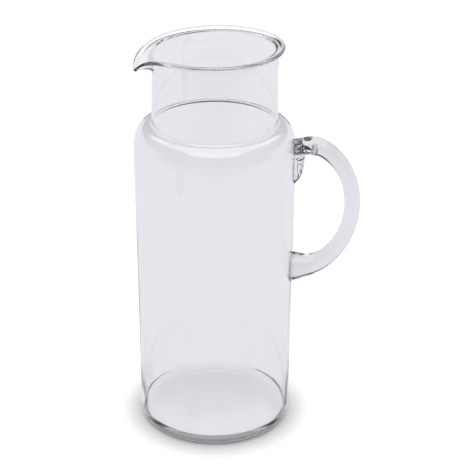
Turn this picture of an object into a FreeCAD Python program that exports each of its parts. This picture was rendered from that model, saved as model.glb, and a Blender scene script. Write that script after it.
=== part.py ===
import FreeCAD, Part
import math
import os

from FreeCAD import Vector

# A mouth-blown glass water jug. Millimetres, +Z up. The origin is the centre of the flat base, on the
# axis of the body. +X points at the handle. The object is the blown vessel, the solid glass handle and
# the tail that the handle's upper end is drawn out into, down the wall.

# ---- vessel: heights and outer radii ----
FOOT_R = 56.7
SHOULDER_R = 58.5
SHOULDER_Z = 215.3
BODY_FLARE_POWER = 1.5
NECK_FOOT_Z = 236.2
NECK_FOOT_R = 45.4
NECK_TOP_R = 44.6
LIP_START_Z = 276.0
SHOULDER_POWER = 2.4
HEEL_R = 6.6

# ---- vessel: glass thickness ----
WALL = 2.0
FLOOR = 8.0
SHOULDER_WALL = 1.6
NECK_WALL = 1.8
INNER_HEEL_R = 1.2
CREASE_R = 1.6
INNER_CREASE_R = 3.2

# ---- lip and spout ----
LIP_EDGE_R = 46.0
LIP_EDGE_Z = 292.2
LIP_BEAD_R = 1.5
LIP_WIDTH = 5.6
LIP_SLOPE = 22.0
LIP_SLOPE_SWING = 4.0
LIP_SLOPE_AZIMUTH = 98.0
LIP_TILT = 0.5
LIP_TILT_AZIMUTH = 50.0
LIP_SHIFT = 1.4
LIP_OVAL = 0.45
LIP_LEAN = 0.8
SPOUT_AZIMUTH = 204.5
SPOUT_PULL = 11.9
SPOUT_PULL_WIDTH = 21.3
SPOUT_DIP = 10.2
SPOUT_DIP_WIDTH = 11.0
SPOUT_SHARPNESS = 1.5
SPOUT_SLOPE = 2.0

# ---- handle: stations along its centre line ----
# radius from the jug's axis, height, half thickness in the handle's plane, half width across it
HANDLE_STATIONS = [
    (50.0, 125.5, 12.0, 10.6),
    (58.0, 126.5, 11.4, 10.0),
    (66.0, 127.6, 8.8, 8.2),
    (75.5, 130.0, 7.2, 6.8),
    (87.5, 140.0, 6.3, 6.2),
    (97.3, 157.5, 5.8, 5.8),
    (101.2, 179.0, 5.8, 5.6),
    (97.2, 200.5, 5.9, 5.8),
    (87.3, 215.3, 6.2, 6.2),
    (76.0, 222.4, 6.9, 6.9),
    (66.5, 222.9, 7.0, 7.4),
    (59.5, 221.0, 5.4, 7.6),
    (50.0, 220.0, 5.2, 8.0),
]

# ---- handle's tail ----
# height, how far it stands out from the axis, half width
TAIL_STATIONS = [
    (221.0, 63.5, 5.0),
    (216.0, 65.0, 5.8),
    (209.5, 65.0, 6.2),
    (203.5, 64.5, 5.8),
    (198.5, 62.6, 4.8),
    (195.0, 60.6, 3.6),
    (193.2, 58.4, 2.4),
]
TAIL_ROOT_R = 53.0

# ---- how the smooth surfaces are made ----
# control points round the lip's bead, in bead radii: how far under its middle, how far out from it
BEAD_OUTLINE = [
    (1.05, -1.2),
    (1.1, 0.2),
    (1.0, 1.1),
    (0.4, 1.4),
    (-0.4, 1.4),
    (-1.0, 1.1),
    (-1.1, 0.2),
    (-1.05, -1.2),
]
DEGREE = 3
LIP_POLES = 72
ROD_POLES = 12
SEW_TOLERANCE = 0.01
FUSE_TOLERANCE = 0.001


def wall_radius(z):
    """Outer radius of the body, which widens a little from the foot to the shoulder."""
    return FOOT_R + (SHOULDER_R - FOOT_R) * (z / SHOULDER_Z) ** BODY_FLARE_POWER


def wall_curve(low, high, inset, steps=6):
    """The body's wall between two heights, inset mm inside its outer face."""
    points = []
    for i in range(steps + 1):
        z = low + (high - low) * i / steps
        points.append(Vector(wall_radius(z) - inset, 0, z))
    curve = Part.BSplineCurve()
    curve.interpolate(Points=points)
    return curve.toShape()


def shoulder_curve(low, high, steps=8):
    """A rounded shoulder from low, where it rises straight up, to high, where it runs level inwards."""
    points = []
    for i in range(steps + 1):
        angle = math.pi / 2 * i / steps
        across = math.cos(angle) ** (2 / SHOULDER_POWER)
        up = math.sin(angle) ** (2 / SHOULDER_POWER)
        points.append(Vector(high.x + (low.x - high.x) * across, 0, low.z + (high.z - low.z) * up))
    curve = Part.BSplineCurve()
    curve.interpolate(Points=points, InitialTangent=Vector(0, 0, 1), FinalTangent=Vector(-1, 0, 0))
    return curve.toShape()


def line(a, b):
    return Part.LineSegment(a, b).toShape()


def quarter_arc(start, end, centre, radius):
    """The arc from start to end that bulges away from centre along the outward and downward diagonal."""
    half = radius * math.sqrt(0.5)
    return Part.Arc(start, Vector(centre.x + half, 0, centre.z - half), end).toShape()


def crease_arc(low, radius):
    """The quarter turn from the level shoulder up into the neck, and the place where it ends."""
    centre = Vector(low.x, 0, low.z + radius)
    half = radius * math.sqrt(0.5)
    end = Vector(low.x - radius, 0, low.z + radius)
    middle = Vector(centre.x - half, 0, centre.z - half)
    return Part.Arc(low, middle, end).toShape(), end


def turned(edges):
    """The solid that a closed outline makes when it turns once round the jug's axis."""
    solid = Part.Face(Part.Wire(edges)).revolve(Vector(0, 0, 0), Vector(0, 0, 1), 360)
    if solid.Volume < 0:
        solid.reverse()
    return solid


def capped(surface):
    """The solid inside a closed band of surface whose two round ends lie flat.

    Ends at one height are the two edges of a flat ring, and other ends are closed by a disc each."""
    side = surface.toShape()
    face = side.Faces[0]
    ends = [edge for edge in side.Edges if edge.isClosed() and not edge.isSeam(face)]
    ends.sort(key=lambda edge: -edge.Length)
    wires = [Part.Wire([edge]) for edge in ends]
    nested = abs(ends[0].Vertexes[0].Z - ends[1].Vertexes[0].Z) < SEW_TOLERANCE
    caps = [Part.Face(wires)] if nested else [Part.Face(wire) for wire in wires]
    shell = Part.Compound([face] + caps)
    shell.sewShape(SEW_TOLERANCE)
    solid = Part.Solid(shell.Shells[0])
    if solid.Volume < 0:
        solid.reverse()
    return solid


def smooth_band(rings):
    """A smooth surface through rings of control points. It is closed round the rings and open across them.

    rings[i] is the row of points at the i-th place round the band."""
    around = len(rings)
    spans = len(rings[0]) - DEGREE
    surface = Part.BSplineSurface()
    surface.buildFromPolesMultsKnots(
        rings,
        [1] * (around + 1),
        [DEGREE + 1] + [1] * (spans - 1) + [DEGREE + 1],
        list(range(around + 1)),
        list(range(spans + 1)),
        True,
        False,
        DEGREE,
        DEGREE,
    )
    return surface


def ring_growth(count):
    """How much further out control points stand than the circle that a ring of them draws."""
    return 3 / (2 + math.cos(2 * math.pi / count))


def outer_profile():
    """The outside, from the middle of the flat base up to where the lip starts."""
    heel_wall = wall_radius(HEEL_R)
    heel_centre = Vector(heel_wall - HEEL_R, 0, HEEL_R)
    flat = Vector(heel_centre.x, 0, 0)
    heel_top = Vector(heel_wall, 0, HEEL_R)
    shoulder_low = Vector(SHOULDER_R, 0, SHOULDER_Z)
    shoulder_high = Vector(NECK_FOOT_R + CREASE_R, 0, NECK_FOOT_Z)
    crease, neck_low = crease_arc(shoulder_high, CREASE_R)
    neck_top = Vector(NECK_TOP_R, 0, LIP_START_Z)
    return [
        line(Vector(0, 0, 0), flat),
        quarter_arc(flat, heel_top, heel_centre, HEEL_R),
        wall_curve(HEEL_R, SHOULDER_Z, 0),
        shoulder_curve(shoulder_low, shoulder_high),
        crease,
        line(neck_low, neck_top),
    ]


def inner_profile():
    """The inside, from the middle of the floor up to where the lip starts."""
    heel_z = FLOOR + INNER_HEEL_R
    heel_wall = wall_radius(heel_z) - WALL
    heel_centre = Vector(heel_wall - INNER_HEEL_R, 0, heel_z)
    flat = Vector(heel_centre.x, 0, FLOOR)
    heel_top = Vector(heel_wall, 0, heel_z)
    shoulder_low = Vector(SHOULDER_R - WALL, 0, SHOULDER_Z)
    shoulder_high = Vector(NECK_FOOT_R - NECK_WALL + INNER_CREASE_R, 0, NECK_FOOT_Z - SHOULDER_WALL)
    crease, neck_low = crease_arc(shoulder_high, INNER_CREASE_R)
    neck_top = Vector(NECK_TOP_R - NECK_WALL, 0, LIP_START_Z)
    return [
        line(Vector(0, 0, FLOOR), flat),
        quarter_arc(flat, heel_top, heel_centre, INNER_HEEL_R),
        wall_curve(heel_z, SHOULDER_Z, WALL),
        shoulder_curve(shoulder_low, shoulder_high),
        crease,
        line(neck_low, neck_top),
    ]


def bump(angle, width):
    """1 at the spout's azimuth, falling smoothly to 0 away from it. Angles in degrees."""
    away = (angle - SPOUT_AZIMUTH + 180) % 360 - 180
    return (1 + (away / width) ** 2) ** -SPOUT_SHARPNESS


def mitred(before, after, thickness):
    """The step from a bend on one face of a sheet to the same bend on the other face.

    before and after are the sheet's unit normals on the two sides of the bend."""
    return (before + after) * (thickness / (1 + before.dot(after)))


def lip_section(angle):
    """Control points of the lip's section at one azimuth, from the outer neck over the bead to the inner.

    Each is (radius, height, share of the lip's sideways shift)."""
    twice = 2 * math.radians(angle - SPOUT_AZIMUTH)
    pull = bump(angle, SPOUT_PULL_WIDTH)
    tilt = LIP_TILT * math.cos(math.radians(angle - LIP_TILT_AZIMUTH))
    edge_r = LIP_EDGE_R + LIP_OVAL * math.cos(twice) + SPOUT_PULL * pull
    edge_z = LIP_EDGE_Z + tilt - SPOUT_DIP * bump(angle, SPOUT_DIP_WIDTH)
    flare = LIP_SLOPE + LIP_SLOPE_SWING * math.cos(math.radians(angle - LIP_SLOPE_AZIMUTH))
    slope = math.radians(flare + (SPOUT_SLOPE - flare) * pull)
    flange = Vector(math.cos(slope), 0, math.sin(slope))
    down = Vector(flange.z, 0, -flange.x)
    bead = Vector(edge_r, 0, edge_z)
    corner = bead - down * LIP_BEAD_R - flange * LIP_WIDTH
    inner_r = NECK_TOP_R - NECK_WALL
    lean = Vector(inner_r, 0, LIP_START_Z + (corner.z - LIP_START_Z) * LIP_LEAN)
    wall = (corner - lean).normalize()
    wall_out = Vector(wall.z, 0, -wall.x)
    outer_lean = lean + mitred(Vector(1, 0, 0), wall_out, NECK_WALL)
    under = corner + mitred(wall_out, down, NECK_WALL)

    def neck(radius, top):
        """Three control points straight up the neck, so that the lip leaves it without a bend."""
        lift = (top - LIP_START_Z) / 3
        return [Vector(radius, 0, LIP_START_Z + lift * i) for i in range(3)]

    def by_bead(side, ahead):
        """A control point side bead radii under the bead's middle and ahead bead radii out from it."""
        return bead + (down * side + flange * ahead) * LIP_BEAD_R

    points = neck(NECK_TOP_R, outer_lean.z) + [outer_lean, under]
    points += [by_bead(*place) for place in BEAD_OUTLINE]
    points += [corner, lean] + neck(inner_r, lean.z)[::-1]
    height = edge_z - LIP_START_Z
    return [(q.x, q.z, min(max((q.z - LIP_START_Z) / height, 0), 1)) for q in points]


def lip():
    """The lip and spout as a solid ring, cut flat where it meets the neck."""
    step = 360 / LIP_POLES
    grow = ring_growth(LIP_POLES)
    rings = []
    for i in range(LIP_POLES):
        angle = (i - 1) * step
        a = math.radians(angle)
        ring = []
        for radius, z, shift in lip_section(angle):
            x = radius * grow * math.cos(a) + LIP_SHIFT * shift
            ring.append(Vector(x, radius * grow * math.sin(a), z))
        rings.append(ring)
    return capped(smooth_band(rings))


def vessel():
    """Base, wall, shoulder, neck, lip and spout: one blown shell, open at the mouth."""
    neck_end = line(Vector(NECK_TOP_R, 0, LIP_START_Z), Vector(NECK_TOP_R - NECK_WALL, 0, LIP_START_Z))
    axis = line(Vector(0, 0, FLOOR), Vector(0, 0, 0))
    body = turned(outer_profile() + [neck_end] + inner_profile()[::-1] + [axis])
    return body.fuse([lip()], FUSE_TOLERANCE).Solids[0]


def envelope():
    """The vessel's outside as one filled solid, up to the lip. The handle is cut back to it."""
    top = Vector(0, 0, LIP_START_Z)
    lid = line(Vector(NECK_TOP_R, 0, LIP_START_Z), top)
    return turned(outer_profile() + [lid, line(top, Vector(0, 0, 0))])


def rod(stations):
    """A smooth solid rod in the XZ plane, flat at both ends.

    Each station is (centre, the direction across the rod in its plane, half thickness, half width)."""
    step = 2 * math.pi / ROD_POLES
    grow = ring_growth(ROD_POLES)
    rings = []
    for i in range(ROD_POLES):
        a = (i - 1) * step
        in_plane = grow * math.cos(a)
        sideways = grow * math.sin(a)
        ring = []
        for centre, across, thick, wide in stations:
            ring.append(centre + across * (thick * in_plane) + Vector(0, wide * sideways, 0))
        rings.append(ring)
    return capped(smooth_band(rings))


def handle(outside):
    """The solid bow handle. Its flared lower foot and its upper end follow the vessel's wall."""
    stations = []
    last = len(HANDLE_STATIONS) - 1
    for i, (r, z, thick, wide) in enumerate(HANDLE_STATIONS):
        before = HANDLE_STATIONS[max(i - 1, 0)]
        after = HANDLE_STATIONS[min(i + 1, last)]
        along = Vector(after[0] - before[0], 0, after[1] - before[1]).normalize()
        stations.append((Vector(r, 0, z), Vector(along.z, 0, -along.x), thick, wide))
    return rod(stations).cut(outside).Solids[0]


def handle_tail(outside, bow):
    """The handle's drawn-out end, which lies down the wall below the upper joint and tapers away."""
    stations = []
    for z, reach, wide in TAIL_STATIONS:
        thick = (reach - TAIL_ROOT_R) / 2
        stations.append((Vector(TAIL_ROOT_R + thick, 0, z), Vector(1, 0, 0), thick, wide))
    return rod(stations).cut(outside).cut(bow).Solids[0]


def main():
    os.makedirs("parts", exist_ok=True)
    outside = envelope()
    bow = handle(outside)
    nodes = {"vessel": vessel(), "handle": bow, "handle_tail": handle_tail(outside, bow)}
    for name, shape in nodes.items():
        print(name, shape.isValid(), round(shape.Volume), shape.BoundBox)
        shape.exportStep(f"parts/{name}.step")


main()
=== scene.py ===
import math

import bpy
import numpy as np
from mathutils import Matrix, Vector


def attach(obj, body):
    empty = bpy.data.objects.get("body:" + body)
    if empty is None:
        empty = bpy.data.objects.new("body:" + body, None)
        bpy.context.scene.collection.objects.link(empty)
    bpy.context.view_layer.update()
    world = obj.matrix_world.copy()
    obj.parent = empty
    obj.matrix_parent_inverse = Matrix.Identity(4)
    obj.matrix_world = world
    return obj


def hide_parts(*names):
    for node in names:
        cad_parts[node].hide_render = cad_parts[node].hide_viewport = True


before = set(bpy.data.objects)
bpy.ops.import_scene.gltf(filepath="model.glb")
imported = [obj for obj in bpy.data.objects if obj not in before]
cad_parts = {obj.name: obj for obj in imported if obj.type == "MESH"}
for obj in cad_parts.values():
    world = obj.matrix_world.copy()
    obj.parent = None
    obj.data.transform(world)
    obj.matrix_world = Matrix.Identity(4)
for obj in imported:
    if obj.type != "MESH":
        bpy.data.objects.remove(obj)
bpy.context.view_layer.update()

# A mouth-blown glass water jug on a white table. The row's frame: metres, +Z up, the origin is the centre
# of the flat base, +X points at the handle. Shapes are worked out in millimetres and turned into metres
# when a mesh is made.
MM = 0.001

# ---- vessel: heights and outer radii ----
FOOT_R = 56.7
SHOULDER_R = 58.5
SHOULDER_Z = 215.3
NECK_FOOT_Z = 236.2
NECK_FOOT_R = 45.4
NECK_TOP_R = 44.6
LIP_START_Z = 276.0
SHOULDER_POWER = 2.4
BODY_FLARE_POWER = 1.5
HEEL_R = 6.6
CREASE_R = 1.6
INNER_CREASE_R = 3.2
BASE_HOLLOW = 0.7
BASE_HOLLOW_POWER = 4

# ---- vessel: glass thickness ----
WALL = 2.0
FLOOR = 8.0
SHOULDER_WALL = 1.6
NECK_WALL = 1.8
INNER_HEEL_R = 1.2
INNER_SHOULDER_DROP = 1.0
# just above the floor the wall is a little thicker on one side, and rippled: size, waves round it, phase
HEEL_THICKENING = 0.35
HEEL_SIDE = 165.0
HEEL_TAPER = 30.0
HEEL_RIPPLES = [
    (0.22, 5, 0.4),
    (0.16, 9, 2.1),
    (0.1, 16, 0.7),
]

# ---- how far the blown wall is off true ----
# waves in it: size, waves round it, turn per mm of height, phase
UNEVEN_WAVES = [
    (1.0, 2, 1 / 70, 0.9),
    (0.6, 3, -1 / 45, 2.0),
]
UNEVEN_DEPTH = 0.12
UNEVEN_FADE = 20.0
INSIDE_TURN = 40.0
INSIDE_LIFT = 90.0

# ---- lip and spout ----
LIP_EDGE_R = 46.0
LIP_EDGE_Z = 292.2
LIP_BEAD_R = 1.5
LIP_WIDTH = 5.6
LIP_SLOPE = 22.0
LIP_SLOPE_SWING = 4.0
LIP_SLOPE_AZIMUTH = 98.0
LIP_TILT = 0.5
LIP_TILT_AZIMUTH = 50.0
LIP_SHIFT = 1.4
LIP_OVAL = 0.45
LIP_CORNER = 1.6
LIP_LEAN = 0.8
SPOUT_LEAN = 0.05
SPOUT_AZIMUTH = 204.5
SPOUT_PULL = 11.9
SPOUT_PULL_WIDTH = 21.3
SPOUT_DIP = 10.2
SPOUT_DIP_WIDTH = 11.0
SPOUT_SHARPNESS = 1.5
SPOUT_SLOPE = 2.0

# ---- handle: stations along its centre line ----
# radius from the jug's axis, height, half thickness in the handle's plane, half width across it
HANDLE_STATIONS = [
    (50.0, 125.5, 12.0, 10.6),
    (58.0, 126.5, 11.4, 10.0),
    (66.0, 127.6, 8.8, 8.2),
    (75.5, 130.0, 7.2, 6.8),
    (87.5, 140.0, 6.3, 6.2),
    (97.3, 157.5, 5.8, 5.8),
    (101.2, 179.0, 5.8, 5.6),
    (97.2, 200.5, 5.9, 5.8),
    (87.3, 215.3, 6.2, 6.2),
    (76.0, 222.4, 6.9, 6.9),
    (66.5, 222.9, 7.0, 7.4),
    (59.5, 221.0, 5.4, 7.6),
    (50.0, 220.0, 5.2, 8.0),
]
HANDLE_WELD_Z = 170

# ---- handle's tail ----
# height, how far it stands out from the axis, half width
TAIL_STATIONS = [
    (221.0, 63.5, 5.0),
    (216.0, 65.0, 5.8),
    (209.5, 65.0, 6.2),
    (203.5, 64.5, 5.8),
    (198.5, 62.6, 4.8),
    (195.0, 60.6, 3.6),
    (193.2, 58.4, 2.4),
]
TAIL_ROOT_R = 53.0
TAIL_WELD_Z = 205
WELD_DEPTH = 1.4

# ---- air trapped in the glass ----
# where the rod's end was pressed on and folded: centre, half sizes, lean in degrees, ripple, and how far
# its colour is painted near-black, a painted shade that stands in for the dark the folds make by bending
# light
POCKETS = [
    ((65.6, 0.0, 219.6), (4.8, 5.0, 1.5), 1.0, 0.0, 1.0),
    ((71.8, 0.0, 220.0), (2.4, 2.4, 3.6), 0.0, 0.0, 0.2),
    ((66.6, 0.0, 227.2), (3.2, 3.4, 1.2), 1.0, 0.1, 1.0),
    ((60.8, 0.0, 224.2), (3.0, 4.2, 1.4), 2.0, 0.2, 1.0),
    ((62.0, 0.0, 221.4), (2.6, 4.0, 0.7), 2.0, 0.2, 1.0),
    ((60.4, 0.0, 218.8), (2.6, 4.6, 1.2), 1.0, 0.2, 1.0),
]
TAIL_POCKETS = [
    ((61.0, 0.0, 212.2), (2.4, 3.4, 0.6), 2.0, 0.1, 1.0),
    ((63.0, 0.0, 208.4), (0.45, 2.8, 2.8), 3.0, 0.0, 1.0),
    ((61.8, 0.0, 203.2), (0.45, 3.0, 3.8), 3.0, 0.0, 1.0),
    ((59.8, 0.0, 206.0), (0.4, 3.2, 4.6), 3.0, 0.0, 1.0),
    ((60.0, 0.0, 198.6), (0.45, 2.4, 2.8), 3.0, 0.0, 1.0),
    ((61.2, 0.0, 208.6), (0.9, 2.6, 0.6), 3.0, 0.0, 1.0),
]
POCKET_CRIMPS = 5
POCKET_TWIST = 4

# ---- mesh density ----
AROUND = 320
HUB_R = 6.0
BASE_ROWS = 9
FLOOR_ROWS = 12
HEEL_ROWS = 14
INNER_HEEL_ROWS = 9
WALL_ROWS = 40
INNER_TAPER_ROWS = 12
INNER_WALL_ROWS = 28
SHOULDER_ROWS = 32
CREASE_ROWS = 6
INNER_CREASE_ROWS = 14
NECK_ROWS = 14
LIP_BEND_ROWS = 11
LIP_FLANGE_ROWS = 9
LIP_BEAD_ROWS = 19
LIP_THICKENING_ROWS = 8
ROD_AROUND = 48
ROD_ALONG = 120
TAIL_AROUND = 40
TAIL_ALONG = 60
CAP_ROWS = 6
POCKET_ROWS = 14
POCKET_AROUND = 28

# ---- splines ----
DEGREE = 3
NEARLY = 1e-9

# ---- glass ----
GLASS_INDEX = 1.5
GLASS_DENSITY = 7.5
GLASS_TINT = (0.1, 0.1, 0.12)
VESSEL_WAVE_SCALE = 26.0
VESSEL_WAVE_DEPTH = 0.00006
ROD_WAVE_SCALE = 60.0
ROD_WAVE_DEPTH = 0.00005
WAVE_DETAIL = 2.0
WAVE_STRETCH = 0.3
SKIN_SCALE = 240.0
SKIN_DETAIL = 3.0
SKIN_DEPTH = 0.000002
FILM_SCALE = 35.0
FILM_DETAIL = 4.0
FILM_STRETCH = 0.6
FILM_FROM = 0.45
FILM_TO = 0.75
FILM_ROUGHNESS = 0.02
FILM_DARK = (0.975, 0.975, 0.98)
# painted shade: the near-black colour of the handle's folded air pockets, in place of the dark that bent
# light makes there
PAINTED_FOLD_SHADE = (0.02, 0.02, 0.025)

# ---- camera: metres and degrees, the lens in millimetres, the shifts in widths of the picture ----
CAMERA_AZIMUTH = math.radians(8.5)
CAMERA_PITCH = math.radians(25.72)
CAMERA_DISTANCE = 1.0131
CAMERA_HEIGHT = 0.6298
CAMERA_LENS = 117.61
CAMERA_SENSOR = 36.0
CAMERA_SHIFT_X = 0.03903
CAMERA_SHIFT_Y = 0.01903
CAMERA_REACH = 100

# ---- table ----
TABLE_SIDE = 16.0
# painted shadow: ambient occlusion darkens the table's colour near the jug; the rest of the contact shadow
# is the real shade of the lit jug
TABLE_Z = -0.0001
TABLE_GAIN = 1.12
# painted shadow: the table's colour is darkened within this reach of the jug, down to this share at the
# jug's foot
SHADE_REACH = 0.019
SHADE_FLOOR = 0.39
SHADE_SAMPLES = 8
# the glass sees the table as a backdrop that darkens between these distances in front of the jug
TABLE_FADE_FROM = 0.4
TABLE_FADE_TO = 0.85
TABLE_FADE_LEVEL = 0.5

# ---- studio ----
BACKDROP = (0.835, 0.83, 0.88)
DARK = (0.05, 0.05, 0.055)
SOFTBOX = 1.5
WINDOW = 2.0
BOUNCES = 40
# soft edges of what the glass sees, in parts of a direction of length 1: from, to, share at each
BACKDROP_BACK = (-0.3, 0.15, 0, 1)
BACKDROP_TOP = (0.14, 0.30, 1, 0)
SOFTBOX_SIDE = (0.50, 0.65, 1, 0)
SOFTBOX_BOTTOM = (0.47, 0.62, 0, 1)
SOFTBOX_FRONT = (-0.15, -0.02, 0, 1)
WINDOW_SIDE = (0.45, 0.55, 1, 0)
WINDOW_BOTTOM = (0.64, 0.69, 0, 1)
WINDOW_BACK = (-0.15, -0.02, 1, 0)


def wall_radius(z):
    """Outer radius of the body, which widens a little from the foot to the shoulder."""
    return FOOT_R + (SHOULDER_R - FOOT_R) * (max(z, 0) / SHOULDER_Z) ** BODY_FLARE_POWER


def ramp(start, end, count):
    """count evenly spaced numbers from start to end, both included."""
    return [start + (end - start) * i / (count - 1) for i in range(count)]


def arc(centre_r, centre_z, radius, start, end, count):
    """Points on an arc, from one angle to another in degrees, measured from outwards towards up."""
    points = []
    for turn in ramp(start, end, count):
        a = math.radians(turn)
        points.append((centre_r + radius * math.cos(a), centre_z + radius * math.sin(a)))
    return points


def straight(a, b, count):
    """Points on the line from a to b."""
    return list(zip(ramp(a[0], b[0], count), ramp(a[1], b[1], count)))


def shoulder(low, high):
    """A rounded shoulder from low, where it rises straight up, to high, where it runs level inwards."""
    points = []
    for share in ramp(0, 1, SHOULDER_ROWS):
        a = math.pi / 2 * share
        across = max(math.cos(a), 0) ** (2 / SHOULDER_POWER)
        up = math.sin(a) ** (2 / SHOULDER_POWER)
        points.append((high[0] + (low[0] - high[0]) * across, low[1] + (high[1] - low[1]) * up))
    return points


def curve(a, b, c, count):
    """Points from a to c on a curve that leaves a and reaches c along the two lines through b."""
    return [a * (1 - t) ** 2 + b * (2 * t * (1 - t)) + c * t ** 2 for t in ramp(0, 1, count)]


def rounded(before, corner, after, trim, count):
    """A rounded corner that starts and ends trim mm from it."""
    start = corner + (before - corner).normalized() * trim
    end = corner + (after - corner).normalized() * trim
    return curve(start, corner, end, count)


def joined(parts):
    """Runs of points as one run, without the points that two runs share."""
    points = list(parts[0])
    for part in parts[1:]:
        points += part[1:]
    return points


def outer_profile():
    """(radius, height) from the middle of the base up the outside to where the lip starts."""
    heel_r = wall_radius(HEEL_R) - HEEL_R
    base = []
    for r in ramp(HUB_R, heel_r, BASE_ROWS):
        base.append((r, BASE_HOLLOW * (1 - (r / heel_r) ** BASE_HOLLOW_POWER)))
    neck_foot = (NECK_FOOT_R + CREASE_R, NECK_FOOT_Z)
    crease = arc(neck_foot[0], NECK_FOOT_Z + CREASE_R, CREASE_R, 270, 180, CREASE_ROWS)
    return joined([
        base,
        arc(heel_r, HEEL_R, HEEL_R, -90, 0, HEEL_ROWS),
        [(wall_radius(z), z) for z in ramp(HEEL_R, SHOULDER_Z, WALL_ROWS)],
        shoulder((SHOULDER_R, SHOULDER_Z), neck_foot),
        crease,
        straight(crease[-1], (NECK_TOP_R, LIP_START_Z), NECK_ROWS),
    ])


def inner_wall(angle, z):
    """Inner radius of the body, with the uneven thickening of the wall just above the floor."""
    a = math.radians(angle)
    ripple = sum(size * math.sin(waves * a + phase) for size, waves, phase in HEEL_RIPPLES)
    inset = HEEL_THICKENING * (1 + math.cos(a - math.radians(HEEL_SIDE))) / 2 + ripple
    fade = 0.5 + 0.5 * math.cos(math.pi * min(max((z - FLOOR) / HEEL_TAPER, 0), 1))
    return wall_radius(z) - WALL - inset * fade


def inner_profile(angle):
    """(radius, height) from the middle of the floor up the inside to the lip's start, at one azimuth."""
    taper_top = FLOOR + HEEL_TAPER
    shoulder_low = (SHOULDER_R - WALL, SHOULDER_Z - INNER_SHOULDER_DROP)
    neck_foot = (NECK_FOOT_R - NECK_WALL + INNER_CREASE_R, NECK_FOOT_Z - SHOULDER_WALL)
    crease_z = neck_foot[1] + INNER_CREASE_R
    crease = arc(neck_foot[0], crease_z, INNER_CREASE_R, 270, 180, INNER_CREASE_ROWS)
    heel_top = FLOOR + INNER_HEEL_R
    heel_r = inner_wall(angle, heel_top) - INNER_HEEL_R
    return joined([
        [(r, FLOOR) for r in ramp(HUB_R, heel_r, FLOOR_ROWS)],
        arc(heel_r, heel_top, INNER_HEEL_R, 270, 360, INNER_HEEL_ROWS),
        [(inner_wall(angle, z), z) for z in ramp(heel_top, taper_top, INNER_TAPER_ROWS)],
        [(inner_wall(angle, z), z) for z in ramp(taper_top, shoulder_low[1], INNER_WALL_ROWS)],
        shoulder(shoulder_low, neck_foot),
        crease,
        straight(crease[-1], (NECK_TOP_R - NECK_WALL, LIP_START_Z), NECK_ROWS),
    ])


def bump(angle, width):
    """1 at the spout's azimuth, falling smoothly to 0 away from it. Angles in degrees."""
    away = (angle - SPOUT_AZIMUTH + 180) % 360 - 180
    return (1 + (away / width) ** 2) ** -SPOUT_SHARPNESS


def lip_profile(angle):
    """(radius, height, share of the lip's shift) at one azimuth, from the outer neck round to the inner."""
    twice = 2 * math.radians(angle - SPOUT_AZIMUTH)
    pull = bump(angle, SPOUT_PULL_WIDTH)
    tilt = LIP_TILT * math.cos(math.radians(angle - LIP_TILT_AZIMUTH))
    edge_r = LIP_EDGE_R + LIP_OVAL * math.cos(twice) + SPOUT_PULL * pull
    edge_z = LIP_EDGE_Z + tilt - SPOUT_DIP * bump(angle, SPOUT_DIP_WIDTH)
    flare = LIP_SLOPE + LIP_SLOPE_SWING * math.cos(math.radians(angle - LIP_SLOPE_AZIMUTH))
    slope = math.radians(flare + (SPOUT_SLOPE - flare) * pull)
    flange = Vector((math.cos(slope), math.sin(slope)))
    down = Vector((flange.y, -flange.x))
    bead = Vector((edge_r, edge_z))
    bead_top = bead - down * LIP_BEAD_R
    corner = bead_top - flange * LIP_WIDTH
    foot = Vector((NECK_TOP_R - NECK_WALL, LIP_START_Z))
    lean = Vector((foot.x, foot.y + (corner.y - foot.y) * (LIP_LEAN - SPOUT_LEAN * pull)))
    bend = rounded(lean, corner, bead_top, LIP_CORNER, LIP_BEND_ROWS)
    inside = joined([
        curve(foot, lean, bend[0], NECK_ROWS),
        bend,
        curve(bend[-1], (bend[-1] + bead_top) / 2, bead_top, LIP_FLANGE_ROWS),
    ])
    # the outside runs beside the inside, and the glass thickens towards the bead
    thin_end = len(inside) - 2 - LIP_THICKENING_ROWS
    outside = []
    for i, q in enumerate(inside[:-1]):
        along = (inside[i + 1] - inside[max(i - 1, 0)]).normalized()
        share = max(i - thin_end, 0) / LIP_THICKENING_ROWS
        thick = NECK_WALL + (2 * LIP_BEAD_R - NECK_WALL) * share * share
        outside.append(q + Vector((along.y, -along.x)) * thick)
    start = math.atan2(down.y, down.x)
    edge = []
    for turn in ramp(0, math.pi, LIP_BEAD_ROWS):
        edge.append(bead + Vector((math.cos(start + turn), math.sin(start + turn))) * LIP_BEAD_R)
    points = outside[:-1] + edge + inside[::-1][1:]
    height = edge_z - LIP_START_Z
    return [(q.x, q.y, min(max((q.y - LIP_START_Z) / height, 0), 1)) for q in points]


def unevenness(angle, z):
    """How far the blown wall stands in from a true round, in mm."""
    a = math.radians(angle)
    most = sum(size for size, waves, rise, phase in UNEVEN_WAVES)
    here = sum(size * math.sin(waves * a + rise * z + phase) for size, waves, rise, phase in UNEVEN_WAVES)
    return UNEVEN_DEPTH * (most - here) / 2


def new_object(name, points, faces):
    """A smooth-shaded mesh object from points in millimetres."""
    mesh = bpy.data.meshes.new(name)
    mesh.from_pydata([tuple(MM * value for value in point) for point in points], [], faces)
    mesh.validate()
    mesh.polygons.foreach_set("use_smooth", [True] * len(mesh.polygons))
    piece = bpy.data.objects.new(name, mesh)
    bpy.context.scene.collection.objects.link(piece)
    return piece


def grid_faces(rows, around, first):
    """Quads between rows of points that are closed round. first is the first row's first index."""
    faces = []
    for i in range(rows - 1):
        a = first + i * around
        for j in range(around):
            k = (j + 1) % around
            faces.append((a + j, a + k, a + around + k, a + around + j))
    return faces


def fan_faces(start, around, hub, flip):
    """Triangles between a row of points that is closed round and one point in its middle."""
    faces = []
    for j in range(around):
        spoke = (start + j, start + (j + 1) % around, hub)
        faces.append(spoke[::-1] if flip else spoke)
    return faces


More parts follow.
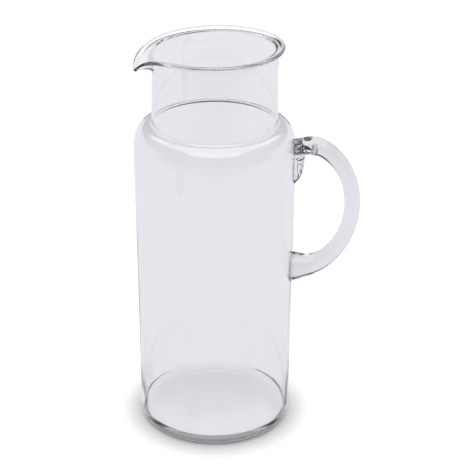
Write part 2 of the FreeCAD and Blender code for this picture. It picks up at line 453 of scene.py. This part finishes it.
def make_vessel():
    """Base, wall, shoulder, neck, lip and spout: one hollow shell, open at the mouth."""
    outer = outer_profile()
    columns = []
    for j in range(AROUND):
        angle = 360 * j / AROUND
        column = []
        for r, z in outer[:-1]:
            fade = min(1, z / UNEVEN_FADE)
            column.append((r - unevenness(angle, z) * fade, z, 0.0))
        column += lip_profile(angle)
        for r, z in inner_profile(angle)[::-1][1:]:
            fade = min(1, max(z - UNEVEN_FADE, 0) / UNEVEN_FADE)
            column.append((r + unevenness(angle + INSIDE_TURN, z + INSIDE_LIFT) * fade, z, 0.0))
        a = math.radians(angle)
        columns.append([(r * math.cos(a) + LIP_SHIFT * s, r * math.sin(a), z) for r, z, s in column])
    rows = len(columns[0])
    points = [columns[j][i] for i in range(rows) for j in range(AROUND)]
    faces = grid_faces(rows, AROUND, 0)
    for centre_z, start, flip in ((BASE_HOLLOW, 0, True), (FLOOR, (rows - 1) * AROUND, False)):
        points.append((0.0, 0.0, centre_z))
        faces += fan_faces(start, AROUND, len(points) - 1, flip)
    return new_object("glass_vessel", points, faces)


def clamped_spline(values, count):
    """count rows along the cubic B-spline whose control rows are values."""
    values = np.array(values, float)
    spans = len(values) - DEGREE
    knots = [0.0] * DEGREE + list(range(spans + 1)) + [spans] * DEGREE
    out = []
    for share in ramp(0.0, 1.0, count):
        t = min(max(share * spans, 0.0), spans - NEARLY)
        k = int(t) + DEGREE
        work = [values[k - DEGREE + j] for j in range(DEGREE + 1)]
        for level in range(1, DEGREE + 1):
            for j in range(DEGREE, level - 1, -1):
                low = knots[k - DEGREE + j]
                high = knots[k + 1 + j - level]
                mix = (t - low) / (high - low)
                work[j] = work[j - 1] * (1 - mix) + work[j] * mix
        out.append(work[DEGREE])
    return np.array(out)


def rod_rings(stations, count, around):
    """Rings of points round a rod in the XZ plane whose stations are (centre, across, thick, wide)."""
    rows = [list(c) + [ax * thick, az * thick, wide] for c, (ax, az), thick, wide in stations]
    rings = []
    for x, z, tx, tz, wide in clamped_spline(rows, count):
        ring = []
        for i in range(around):
            a = 2 * math.pi * i / around
            ring.append((x + tx * math.cos(a), wide * math.sin(a), z + tz * math.cos(a)))
        rings.append(ring)
    return rings


def on_wall(radius, y):
    """How far out along X a round wall of that radius is, at y."""
    return math.sqrt(radius ** 2 - y * y)


def kept_outside(rings, radius):
    """The rings with what lies inside a round wall of that radius laid on it."""
    return [[(max(x, on_wall(radius, y)), y, z) for x, y, z in ring] for ring in rings]


def cap_rings(ring, radius):
    """Smaller and smaller copies of a ring on a round wall, to close the end of a rod, and their middle."""
    z_middle = sum(z for x, y, z in ring) / len(ring)
    rings = []
    for share in ramp(1, 0, CAP_ROWS + 1)[1:-1]:
        smaller = []
        for x, y, z in ring:
            smaller.append((on_wall(radius, y * share), y * share, z_middle + (z - z_middle) * share))
        rings.append(smaller)
    return rings, (radius, 0.0, z_middle)


def flat_cap(ring):
    """The middle of a level ring, which closes the end of a rod without more rings."""
    return [], (sum(x for x, y, z in ring) / len(ring), 0.0, ring[0][2])


def pocket(centre, half, lean, ripple, painted_shade_level):
    """An air pocket in the glass, a closed egg whose faces look inwards. lean tips it about the X axis."""
    turn = math.radians(lean)
    points = []
    for i in range(1, POCKET_ROWS):
        up = math.pi * i / POCKET_ROWS
        for j in range(POCKET_AROUND):
            a = 2 * math.pi * j / POCKET_AROUND
            swell = 1 + ripple * math.sin(POCKET_CRIMPS * a + POCKET_TWIST * up)
            x = half[0] * math.cos(up)
            y = half[1] * math.sin(up) * math.cos(a) * swell
            z = half[2] * math.sin(up) * math.sin(a) * swell
            leaning_y = y * math.cos(turn) - z * math.sin(turn)
            leaning_z = y * math.sin(turn) + z * math.cos(turn)
            points.append((centre[0] + x, centre[1] + leaning_y, centre[2] + leaning_z))
    faces = grid_faces(POCKET_ROWS - 1, POCKET_AROUND, 0)
    last_row = (POCKET_ROWS - 2) * POCKET_AROUND
    for side, start, flip in ((1, 0, True), (-1, last_row, False)):
        points.append((centre[0] + half[0] * side, centre[1], centre[2]))
        faces += fan_faces(start, POCKET_AROUND, len(points) - 1, flip)
    # the last value is how far the pocket's colour is painted near-black, as painted shade
    return points, faces, painted_shade_level


def closed_rod(name, rings, start_cap, end_cap, pockets):
    """A closed rod with pockets of air in it. Each cap is (rings inwards, middle point).

    The points of a pocket carry how far its colour is painted near-black, as painted shade, in a point
    value."""
    start_rings, start_hub = start_cap
    end_rings, end_hub = end_cap
    every = start_rings[::-1] + rings + end_rings
    around = len(every[0])
    points = [point for ring in every for point in ring]
    faces = grid_faces(len(every), around, 0)
    last_row = (len(every) - 1) * around
    for middle, start, flip in ((start_hub, 0, True), (end_hub, last_row, False)):
        points.append(middle)
        faces += fan_faces(start, around, len(points) - 1, flip)
    # painted shade: each pocket's points carry how far the glass colour is painted near-black there
    film_and_painted_shade = [0.0] * len(points)
    for pocket_points, pocket_faces, painted_shade_level in pockets:
        first = len(points)
        points += pocket_points
        faces += [tuple(first + k for k in face) for face in pocket_faces]
        film_and_painted_shade += [painted_shade_level] * len(pocket_points)
    piece = new_object(name, points, faces)
    piece.data.attributes.new("painted_shade_share", "FLOAT", "POINT").data.foreach_set("value", film_and_painted_shade)
    return piece


def handle_stations():
    """The handle's stations, each with the direction across the rod in its plane."""
    stations = []
    last = len(HANDLE_STATIONS) - 1
    for i, (r, z, thick, wide) in enumerate(HANDLE_STATIONS):
        before = HANDLE_STATIONS[max(i - 1, 0)]
        after = HANDLE_STATIONS[min(i + 1, last)]
        along = Vector((after[0] - before[0], after[1] - before[1])).normalized()
        stations.append(((r, z), (along.y, -along.x), thick, wide))
    return stations


def make_handle():
    """The solid bow handle, whose two ends lie on the vessel's wall."""
    radius = wall_radius(HANDLE_WELD_Z) - WELD_DEPTH
    rings = kept_outside(rod_rings(handle_stations(), ROD_ALONG, ROD_AROUND), radius)
    sunk = [all(x <= on_wall(radius, y) + NEARLY for x, y, z in ring) for ring in rings]
    middle = len(rings) // 2
    first = max(i for i in range(middle) if sunk[i])
    last = min(i for i in range(middle, len(rings)) if sunk[i])
    rings = rings[first:last + 1]
    pockets = [pocket(*values) for values in POCKETS]
    foot_cap = cap_rings(rings[0], radius)
    top_cap = cap_rings(rings[-1], radius)
    return closed_rod("glass_handle", rings, foot_cap, top_cap, pockets)


def make_tail():
    """The handle's drawn-out end, down the wall below the upper joint."""
    stations = []
    for z, reach, wide in TAIL_STATIONS[::-1]:
        thick = (reach - TAIL_ROOT_R) / 2
        stations.append(((TAIL_ROOT_R + thick, z), (1, 0), thick, wide))
    radius = wall_radius(TAIL_WELD_Z) - WELD_DEPTH
    rings = kept_outside(rod_rings(stations, TAIL_ALONG, TAIL_AROUND), radius)
    pockets = [pocket(*values) for values in TAIL_POCKETS]
    tip_cap = flat_cap(rings[0])
    top_cap = flat_cap(rings[-1])
    return closed_rod("glass_handle_tail", rings, tip_cap, top_cap, pockets)


def mapped(tree, value, limits, interpolation="LINEAR", clamp=True):
    """value carried from one range to another. limits are (from, to, result at from, result at to)."""
    node = tree.nodes.new("ShaderNodeMapRange")
    node.interpolation_type = interpolation
    node.clamp = clamp
    for socket, limit in zip(("From Min", "From Max", "To Min", "To Max"), limits):
        node.inputs[socket].default_value = limit
    tree.links.new(value, node.inputs["Value"])
    return node.outputs["Result"]


def mixed(tree, share, first, second):
    """A colour that goes from first to second as share goes from 0 to 1. first is a colour or a socket."""
    node = tree.nodes.new("ShaderNodeMix")
    node.data_type = "RGBA"
    node.inputs["B"].default_value = (*second, 1)
    tree.links.new(share, node.inputs["Factor"])
    if isinstance(first, tuple):
        node.inputs["A"].default_value = (*first, 1)
    else:
        tree.links.new(first, node.inputs["A"])
    return node.outputs["Result"]


def reach(tree, vector, direction):
    """How far a vector reaches in a direction."""
    node = tree.nodes.new("ShaderNodeVectorMath")
    node.operation = "DOT_PRODUCT"
    node.inputs[1].default_value = direction
    tree.links.new(vector, node.inputs[0])
    return node.outputs["Value"]


def worked_out(tree, operation, *values):
    """The result of a Math node of that operation on one or two values."""
    node = tree.nodes.new("ShaderNodeMath")
    node.operation = operation
    for i, value in enumerate(values):
        tree.links.new(value, node.inputs[i])
    return node.outputs["Value"]


def noise(tree, coords, scale, detail, stretch):
    """A noise texture over the object's own coordinates, drawn out along Z where stretch is under 1."""
    mapping = tree.nodes.new("ShaderNodeMapping")
    mapping.inputs["Scale"].default_value = (1, 1, stretch)
    tree.links.new(coords.outputs["Object"], mapping.inputs["Vector"])
    texture = tree.nodes.new("ShaderNodeTexNoise")
    texture.inputs["Scale"].default_value = scale
    texture.inputs["Detail"].default_value = detail
    tree.links.new(mapping.outputs["Vector"], texture.inputs["Vector"])
    return texture.outputs["Fac"]


def bumped(tree, height, depth, before=None):
    """A bump of that depth in metres, laid over the normal that comes before it."""
    node = tree.nodes.new("ShaderNodeBump")
    node.inputs["Strength"].default_value = 1.0
    node.inputs["Distance"].default_value = depth
    tree.links.new(height, node.inputs["Height"])
    if before is not None:
        tree.links.new(before, node.inputs["Normal"])
    return node.outputs["Normal"]


def glass(name, wave_scale, wave_depth):
    """Clear blown glass: slow waves drawn out up the wall, a fine skin, a faint uneven film, and painted
    shade: a near-black colour where the points carry it.
    """
    material = bpy.data.materials.new(name)
    material.use_nodes = True
    tree = material.node_tree
    tree.nodes.clear()
    out = tree.nodes.new("ShaderNodeOutputMaterial")
    shader = tree.nodes.new("ShaderNodeBsdfPrincipled")
    shader.inputs["Transmission Weight"].default_value = 1.0
    shader.inputs["IOR"].default_value = GLASS_INDEX
    coords = tree.nodes.new("ShaderNodeTexCoord")
    waves = noise(tree, coords, wave_scale, WAVE_DETAIL, WAVE_STRETCH)
    skin = noise(tree, coords, SKIN_SCALE, SKIN_DETAIL, 1.0)
    film_and_painted_shade = noise(tree, coords, FILM_SCALE, FILM_DETAIL, FILM_STRETCH)
    waved = bumped(tree, waves, wave_depth)
    tree.links.new(bumped(tree, skin, SKIN_DEPTH, waved), shader.inputs["Normal"])
    haze = mapped(tree, film_and_painted_shade, (FILM_FROM, FILM_TO, 0.0, FILM_ROUGHNESS))
    tree.links.new(haze, shader.inputs["Roughness"])
    shade = tree.nodes.new("ShaderNodeValToRGB")
    shade.color_ramp.elements[0].color = (*FILM_DARK, 1)
    shade.color_ramp.elements[1].color = (1, 1, 1, 1)
    tree.links.new(film_and_painted_shade, shade.inputs["Fac"])
    # painted shade: the points' value turns the colour near-black in the handle's folded pockets
    painted_shade_share = tree.nodes.new("ShaderNodeAttribute")
    painted_shade_share.attribute_name = "painted_shade_share"
    colour_with_painted_shade = mixed(tree, painted_shade_share.outputs["Fac"], shade.outputs["Color"], PAINTED_FOLD_SHADE)
    tree.links.new(colour_with_painted_shade, shader.inputs["Base Color"])
    volume = tree.nodes.new("ShaderNodeVolumeAbsorption")
    volume.inputs["Color"].default_value = (*GLASS_TINT, 1)
    volume.inputs["Density"].default_value = GLASS_DENSITY
    tree.links.new(shader.outputs["BSDF"], out.inputs["Surface"])
    tree.links.new(volume.outputs["Volume"], out.inputs["Volume"])
    return material


def table_white():
    """The table: white with a partly painted contact shadow to look at, and a glowing backdrop that darkens
    further in front of the jug, as seen through the glass.
    """
    material = bpy.data.materials.new("table_white")
    material.use_nodes = True
    tree = material.node_tree
    tree.nodes.clear()
    out = tree.nodes.new("ShaderNodeOutputMaterial")
    glow = tree.nodes.new("ShaderNodeEmission")
    glow.inputs["Color"].default_value = (*BACKDROP, 1)
    place = tree.nodes.new("ShaderNodeNewGeometry")
    front = (math.sin(CAMERA_AZIMUTH), -math.cos(CAMERA_AZIMUTH), 0)
    ahead = reach(tree, place.outputs["Position"], front)
    fade = mapped(tree, ahead, (TABLE_FADE_FROM, TABLE_FADE_TO, 1.0, TABLE_FADE_LEVEL))
    tree.links.new(fade, glow.inputs["Strength"])
    shade = tree.nodes.new("ShaderNodeAmbientOcclusion")
    shade.inputs["Distance"].default_value = SHADE_REACH
    shade.samples = SHADE_SAMPLES
    painted_contact_shadow = mapped(tree, shade.outputs["AO"], (0.0, 1.0, SHADE_FLOOR, TABLE_GAIN), clamp=False)
    diffuse = tree.nodes.new("ShaderNodeBsdfDiffuse")
    tree.links.new(painted_contact_shadow, diffuse.inputs["Color"])
    path = tree.nodes.new("ShaderNodeLightPath")
    mix = tree.nodes.new("ShaderNodeMixShader")
    tree.links.new(path.outputs["Is Camera Ray"], mix.inputs["Fac"])
    tree.links.new(glow.outputs["Emission"], mix.inputs[1])
    tree.links.new(diffuse.outputs["BSDF"], mix.inputs[2])
    tree.links.new(mix.outputs["Shader"], out.inputs["Surface"])
    return material


def make_table():
    """A square table top, just under the jug."""
    half = TABLE_SIDE / 2
    square = ((-half, -half), (half, -half), (half, half), (-half, half))
    corners = [(x, y, TABLE_Z) for x, y in square]
    mesh = bpy.data.meshes.new("table")
    mesh.from_pydata(corners, [], [(0, 1, 2, 3)])
    mesh.materials.append(table_white())
    top = bpy.data.objects.new("table", mesh)
    bpy.context.scene.collection.objects.link(top)
    return top


def patch(tree, edges):
    """How much of a soft-edged patch of the sky is seen. Each edge is (value, its limits)."""
    share = None
    for value, limits in edges:
        edge = mapped(tree, value, limits, "SMOOTHSTEP")
        share = edge if share is None else worked_out(tree, "MULTIPLY", share, edge)
    return share


def make_studio():
    """The sky: white to look at, and a backdrop, a softbox and a window in a dark room for the glass."""
    world = bpy.data.worlds.new("studio")
    bpy.context.scene.world = world
    world.use_nodes = True
    tree = world.node_tree
    tree.nodes.clear()
    out = tree.nodes.new("ShaderNodeOutputWorld")
    background = tree.nodes.new("ShaderNodeBackground")
    coords = tree.nodes.new("ShaderNodeTexCoord")
    direction = coords.outputs["Generated"]
    split = tree.nodes.new("ShaderNodeSeparateXYZ")
    tree.links.new(direction, split.inputs["Vector"])
    up = split.outputs["Z"]
    back = reach(tree, direction, (-math.sin(CAMERA_AZIMUTH), math.cos(CAMERA_AZIMUTH), 0))
    side = reach(tree, direction, (math.cos(CAMERA_AZIMUTH), math.sin(CAMERA_AZIMUTH), 0))
    aside = worked_out(tree, "ABSOLUTE", side)
    backdrop = patch(tree, [(back, BACKDROP_BACK), (up, BACKDROP_TOP)])
    softbox = patch(tree, [(aside, SOFTBOX_SIDE), (up, SOFTBOX_BOTTOM), (back, SOFTBOX_FRONT)])
    window = patch(tree, [(aside, WINDOW_SIDE), (up, WINDOW_BOTTOM), (back, WINDOW_BACK)])
    room = mixed(tree, backdrop, DARK, BACKDROP)
    room = mixed(tree, softbox, room, (SOFTBOX, SOFTBOX, SOFTBOX))
    room = mixed(tree, window, room, (WINDOW, WINDOW, WINDOW))
    path = tree.nodes.new("ShaderNodeLightPath")
    plain = worked_out(tree, "MAXIMUM", path.outputs["Is Camera Ray"], path.outputs["Diffuse Depth"])
    sky = mixed(tree, plain, room, (1, 1, 1))
    tree.links.new(sky, background.inputs["Color"])
    tree.links.new(background.outputs["Background"], out.inputs["Surface"])


def make_camera():
    """The camera, at the photograph's angle."""
    data = bpy.data.cameras.new("camera")
    data.sensor_width = CAMERA_SENSOR
    data.lens = CAMERA_LENS
    data.shift_x = CAMERA_SHIFT_X
    data.shift_y = CAMERA_SHIFT_Y
    data.clip_end = CAMERA_REACH
    camera = bpy.data.objects.new("camera", data)
    bpy.context.scene.collection.objects.link(camera)
    x = CAMERA_DISTANCE * math.sin(CAMERA_AZIMUTH)
    y = -CAMERA_DISTANCE * math.cos(CAMERA_AZIMUTH)
    camera.location = (x, y, CAMERA_HEIGHT)
    camera.rotation_euler = (math.pi / 2 - CAMERA_PITCH, 0, CAMERA_AZIMUTH)
    bpy.context.scene.camera = camera


vessel = make_vessel()
handle = make_handle()
tail = make_tail()
clear_glass = glass("clear_glass", VESSEL_WAVE_SCALE, VESSEL_WAVE_DEPTH)
rod_glass = glass("rod_glass", ROD_WAVE_SCALE, ROD_WAVE_DEPTH)
for piece, material in ((vessel, clear_glass), (handle, rod_glass), (tail, rod_glass)):
    piece.data.materials.append(material)
    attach(piece, "root")
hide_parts("vessel")
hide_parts("handle")
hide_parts("handle_tail")

table = make_table()
make_studio()
make_camera()

# light passes many glass faces before it leaves the jug
cycles = bpy.context.scene.cycles
cycles.max_bounces = BOUNCES
cycles.glossy_bounces = BOUNCES
cycles.transmission_bounces = BOUNCES
bpy.context.scene.view_settings.view_transform = "Standard"
bpy.context.scene.view_settings.look = "None"
